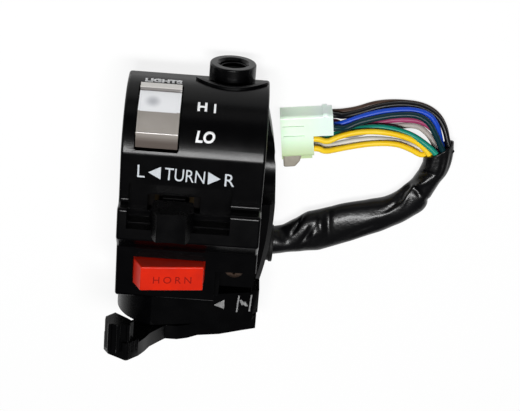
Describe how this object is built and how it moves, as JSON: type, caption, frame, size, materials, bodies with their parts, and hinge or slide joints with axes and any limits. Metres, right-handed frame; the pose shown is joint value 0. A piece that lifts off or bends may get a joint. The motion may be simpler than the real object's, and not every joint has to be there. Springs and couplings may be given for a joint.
{
  "type": "handlebar switch cluster",
  "caption": "Black handlebar switch housing with a dimmer rocker, turn signal knob, red horn button, choke lever, mirror boss and a sleeved wiring lead ending in a plug.",
  "frame": {"origin": "on the handlebar's axis, in the middle of the housing's width", "axes": "+X along the handlebar towards the middle of the bike, +Y up the switch towards the mirror boss, +Z out of the face that the rider sees"},
  "size_m": [0.1103, 0.09, 0.0485],
  "materials": {
    "housing_black": "satin black paint on die-cast aluminium, fine grain",
    "screw_black": "black zinc plated steel",
    "steel": "bright zinc plated steel",
    "brass": "plain brass",
    "rocker_grey": "semi gloss warm grey plastic",
    "lever_black": "moulded black nylon",
    "choke_black": "moulded black nylon",
    "horn_red": "semi gloss red plastic",
    "inner_black": "moulded black plastic",
    "board_brown": "laminated phenolic board",
    "rubber_black": "matt black rubber",
    "sleeve_black": "glossy soft PVC tube",
    "plug_mint": "translucent pale green nylon",
    "wire_black": "PVC insulation",
    "wire_brown": "PVC insulation",
    "wire_blue": "PVC insulation",
    "wire_teal": "PVC insulation",
    "wire_pink": "PVC insulation",
    "wire_grey": "PVC insulation",
    "wire_green": "PVC insulation",
    "wire_yellow": "PVC insulation",
    "wire_white": "PVC insulation",
    "wire_yellow_lower": "PVC insulation"
  },
  "bodies": {
    "housing": {"front_shell": "housing_black", "rear_shell": "housing_black", "housing_screws": "screw_black", "dimmer_base": "inner_black", "dimmer_contacts": "brass", "dimmer_pin": "steel", "turn_board": "board_brown", "turn_contacts": "brass", "horn_base": "inner_black", "horn_fixed_contact": "brass", "horn_spring": "steel", "module_screws": "steel", "harness_grommet": "rubber_black", "choke_housing": "choke_black", "choke_screws": "screw_black", "choke_pivot_screw": "screw_black", "choke_washer": "steel", "harness_sleeve": "sleeve_black", "connector_housing": "plug_mint", "connector_terminals": "brass", "wire_black": "wire_black", "wire_brown": "wire_brown", "wire_blue": "wire_blue", "wire_teal": "wire_teal", "wire_pink": "wire_pink", "wire_grey": "wire_grey", "wire_green": "wire_green", "wire_yellow": "wire_yellow", "wire_white": "wire_white", "wire_yellow_lower": "wire_yellow_lower"},
    "rocker": {"dimmer_rocker": "rocker_grey", "dimmer_plunger": "brass", "dimmer_plunger_spring": "steel"},
    "carriage": {"turn_carriage": "inner_black", "turn_slider_contact": "brass", "knob_spring": "steel"},
    "knob": {"turn_knob": "lever_black"},
    "horn": {"horn_button": "horn_red", "horn_moving_contact": "brass"},
    "lever": {"choke_lever": "lever_black"}
  },
  "joints": [
    {"name": "dimmer_rock", "type": "hinge", "parent": "housing", "child": "rocker", "pos_m": [-0.01145, 0.02055, 0.0122], "axis": [1, 0, 0], "range_deg": [0, 20]},
    {"name": "turn_slide", "type": "slide", "parent": "housing", "child": "carriage", "axis": [1, 0, 0], "range_m": [-0.0045, 0.0045]},
    {"name": "knob_press", "type": "slide", "parent": "carriage", "child": "knob", "axis": [0, 0, -1], "range_m": [0, 0.0015], "stiffness_N_per_m": 500, "springref_m": -0.002, "deforming": ["knob_spring"]},
    {"name": "horn_press", "type": "slide", "parent": "housing", "child": "horn", "axis": [0, 0, -1], "range_m": [0, 0.0025], "stiffness_N_per_m": 600, "springref_m": -0.002, "deforming": ["horn_spring"]},
    {"name": "choke_swing", "type": "hinge", "parent": "housing", "child": "lever", "pos_m": [0.008, -0.053, -0.003], "axis": [0, 1, 0], "range_deg": [0, 45]}
  ]
}
